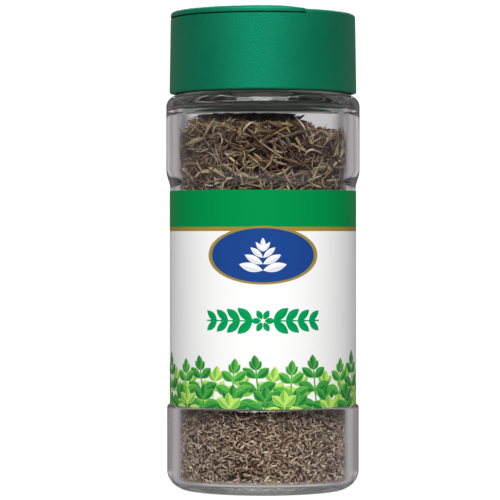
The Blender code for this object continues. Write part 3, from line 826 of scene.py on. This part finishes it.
bevel_section = [(21.6, DECK_TOP + 0.3), (22.4, DECK_TOP - 0.5), (22.4, DECK_TOP + 0.3)]
bevel = turned(bevel_section, closed=True, steps=256)
cut_flat(bevel, FLAP_OUTWARD * (HINGE_OFFSET + HINGE_GAP), -FLAP_OUTWARD)
combine(cap, bevel, "DIFFERENCE")
soften_edges(cap, EDGE_SOFTENING)
combine(cap, thread_ridge(SKIRT_INNER_RADIUS, 20.35, NECK_THREAD_START - 2.0), "UNION")
settle_shading(cap)
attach(cap, "cap")
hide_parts("cap_body")


# Flap
# The D-shaped flap over the sifter holes, of the same plastic. It stands 0.6 mm above the fixed part,
# slopes down to its hinge, and has tapered pins underneath that plug the holes.
FLAP_BOTTOM = 112.6
FLAP_TOP = 114.0
FLAP_SLOPE_LENGTH = 6.4
PIN_TIP_RADIUS = 1.1
PIN_ROOT_RADIUS = 1.45
PIN_LENGTH = 0.9
PIN_SUNK = 0.3

flap_profile = [(0.0, FLAP_BOTTOM), (SKIRT_TOP_RADIUS, FLAP_BOTTOM)]
flap_edge = (SKIRT_TOP_RADIUS - TOP_EDGE_ROUNDING, FLAP_TOP - TOP_EDGE_ROUNDING)
flap_profile += arc(flap_edge, TOP_EDGE_ROUNDING, 0.0, 90.0, 8)
flap_profile += [(0.0, FLAP_TOP)]
flap_shape = turned(flap_profile, closed=False, steps=256)
cut_flat(flap_shape, FLAP_OUTWARD * (HINGE_OFFSET + HINGE_GAP / 2.0), -FLAP_OUTWARD)
slope_top = FLAP_OUTWARD * (HINGE_OFFSET + FLAP_SLOPE_LENGTH) + Vector((0.0, 0.0, FLAP_TOP))
slope = Vector((0.0, 0.0, 1.0)) - FLAP_OUTWARD * (FLAP_TOP - FIXED_TOP) / FLAP_SLOPE_LENGTH
cut_flat(flap_shape, slope_top, slope.normalized())
flap = piece("moulded_flap", flap_shape, moulded_green("green_flap_plastic"), 28.0)
soften_edges(flap, EDGE_SOFTENING)
pins = cones_at_holes(PIN_TIP_RADIUS, PIN_ROOT_RADIUS, FLAP_BOTTOM - PIN_LENGTH, FLAP_BOTTOM + PIN_SUNK)
combine(flap, pins, "UNION")
settle_shading(flap)
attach(flap, "flap")
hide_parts("flap_lid")


# Living hinge
# The thin web of the same plastic that joins flap and cap along the chord, cut across into strips.
WEB_HALF_LENGTH = 20.0
WEB_HALF_WIDTH = 0.6
WEB_STRIPS = 12

web_shape = box_along_flap(
    (HINGE_OFFSET - WEB_HALF_WIDTH, -WEB_HALF_LENGTH, FIXED_TOP - 0.32),
    (HINGE_OFFSET + WEB_HALF_WIDTH, WEB_HALF_LENGTH, FIXED_TOP - 0.14),
)
for step in range(1, WEB_STRIPS):
    offset = HINGE_OFFSET - WEB_HALF_WIDTH + 2.0 * WEB_HALF_WIDTH * step / WEB_STRIPS
    geometry = web_shape.verts[:] + web_shape.edges[:] + web_shape.faces[:]
    plane = {"plane_co": FLAP_OUTWARD * offset * MM, "plane_no": FLAP_OUTWARD, "dist": 1e-7}
    bmesh.ops.bisect_plane(web_shape, geom=geometry, **plane)
web = piece("hinge_web", web_shape, cap_green)
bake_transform(web)


# Floor and backdrop
# A round pale floor whose rim curves up into a wall, with a painted contact shade under the jar's rounded
# foot. The jar in the photo was lit apart from its white ground, so this one shows to the camera alone,
# and the glass is lit by the grey air and the card.
BLACK = (0.0, 0.0, 0.0, 1.0)
ground_finish = Finish("pale_ground", Base_Color=BLACK, Specular_IOR_Level=0.0, Emission_Strength=1.15)
floor_x, floor_y = (
    ground_finish.start.node("ShaderNodeSeparateXYZ", None, {0: ground_finish.place}, i) for i in range(2)
)
# Painted shade: the floor's glow fades to near black under the jar's rounded foot, in place of a contact
# shadow.
outside_painted_shade = (floor_x * floor_x + floor_y * floor_y).rise((17.4 * MM) ** 2, (20.8 * MM) ** 2)
ground_finish.feed("Emission Color", outside_painted_shade.mix((0.06, 0.06, 0.065, 1.0), (1.0, 1.0, 1.0, 1.0)))
ground_profile = [(0.0, 0.0), (2200.0, 0.0)]
ground_profile += arc((2200.0, 800.0), 800.0, -90.0, 0.0, 16)[1:] + [(3000.0, 3500.0)]
ground_shape = turned(ground_profile[::-1], closed=False, steps=96)
bmesh.ops.reverse_faces(ground_shape, faces=ground_shape.faces)
ground = piece("pale_ground", ground_shape, ground_finish, 180.0)
ground.visible_diffuse = False
ground.visible_glossy = False
ground.visible_transmission = False
ground.visible_shadow = False

bright_finish = Finish("bright_card", Base_Color=BLACK, Roughness=0.9, Emission_Strength=0.64)
card_across = bright_finish.start.node("ShaderNodeSeparateXYZ", None, {0: bright_finish.place}, 0)
fade = abs(card_across).rise(0.2, 0.45)
bright_finish.feed("Emission Color", fade.mix((1.0, 0.98, 0.99, 1.0), (0.38, 0.36, 0.37, 1.0)))
card_shape = bmesh.new()
upright = Matrix.Translation((0.0, 1.2, 0.34)) @ Matrix.Rotation(math.radians(90.0), 4, "X")
bmesh.ops.create_grid(card_shape, x_segments=1, y_segments=1, size=0.28, matrix=upright)
bmesh.ops.scale(card_shape, verts=card_shape.verts, vec=(2.5, 1.0, 1.0))
card = piece("bright_card", card_shape, bright_finish, 180.0)
card.visible_camera = False
card.visible_diffuse = False
card.visible_glossy = False
card.visible_shadow = False


# Light
# A soft box up to the left of the camera, a broader one of like strength to its right, one high at the
# back for the far side, and grey air all round.
def soft_box(name, azimuth_deg, elevation_deg, distance, size, power):
    """A square soft light aimed at the jar's middle. Azimuth 0 is the camera's side, 90 the right."""
    turn = math.radians(azimuth_deg)
    lift = math.radians(elevation_deg)
    toward = Vector((math.sin(turn) * math.cos(lift), -math.cos(turn) * math.cos(lift), math.sin(lift)))
    data = bpy.data.lights.new(name, "AREA")
    data.shape = "SQUARE"
    data.size = size
    data.energy = power
    made = bpy.data.objects.new(name, data)
    made.location = Vector((0.0, 0.0, 0.06)) + toward * distance
    made.rotation_euler = (-toward).to_track_quat("-Z", "Y").to_euler()
    made.visible_transmission = False
    bpy.context.scene.collection.objects.link(made)


soft_box("key_box", -12.0, 38.0, 1.1, 0.7, 8.6)
soft_box("fill_box", 10.0, 44.0, 1.3, 0.9, 12.0)
soft_box("back_box", 180.0, 35.0, 1.5, 0.9, 20.0)
world = bpy.data.worlds.new("studio_air")
world.use_nodes = True
air = Wire(world.node_tree)
direction = air.node("ShaderNodeTexCoord", output=0)
sideways, ahead, height = (air.node("ShaderNodeSeparateXYZ", None, {0: direction}, i) for i in range(3))
flank = abs(sideways).rise(0.3, 0.55) * ahead.rise(0.6, 0.8)
grey = flank.mix((0.195, 0.185, 0.19, 1.0), (0.43, 0.41, 0.42, 1.0))
grey = height.rise(0.45, 0.85).mix(grey, (0.50, 0.485, 0.49, 1.0))
grey = (0.0 - height).rise(0.35, 0.85).mix(grey, (0.50, 0.475, 0.48, 1.0))
near_floor = (0.0 - ahead).rise(0.1, 0.5) * (0.0 - height).rise(0.3, 0.5)
grey = near_floor.mix(grey, (0.80, 0.78, 0.78, 1.0))
dark_side = (0.0 - ahead).rise(0.45, 0.95) * height.rise(-0.35, -0.15) * (0.4 - height).rise(0.0, 0.28)
air_colour = dark_side.mix(grey, (0.045, 0.043, 0.045, 1.0))
world.node_tree.links.new(air_colour.socket, world.node_tree.nodes["Background"].inputs["Color"])
bpy.context.scene.world = world


# Camera
# Eye level is near the label's top half, about 0.64 m away, with a long lens and a slight downward aim.
camera_data = bpy.data.cameras.new("photo_camera")
camera_data.sensor_width = 36.0
camera_data.lens = 191.0
camera = bpy.data.objects.new("photo_camera", camera_data)
camera.location = (0.0, -0.636, 0.0604)
aim = Vector((-0.0031, 0.0, 0.0571))
camera.rotation_euler = (aim - camera.location).to_track_quat("-Z", "Y").to_euler()
bpy.context.scene.collection.objects.link(camera)
bpy.context.scene.camera = camera
bpy.context.scene.view_settings.view_transform = "Standard"
bpy.context.scene.cycles.max_bounces = 28
bpy.context.scene.cycles.transmission_bounces = 24
bpy.context.scene.cycles.glossy_bounces = 20
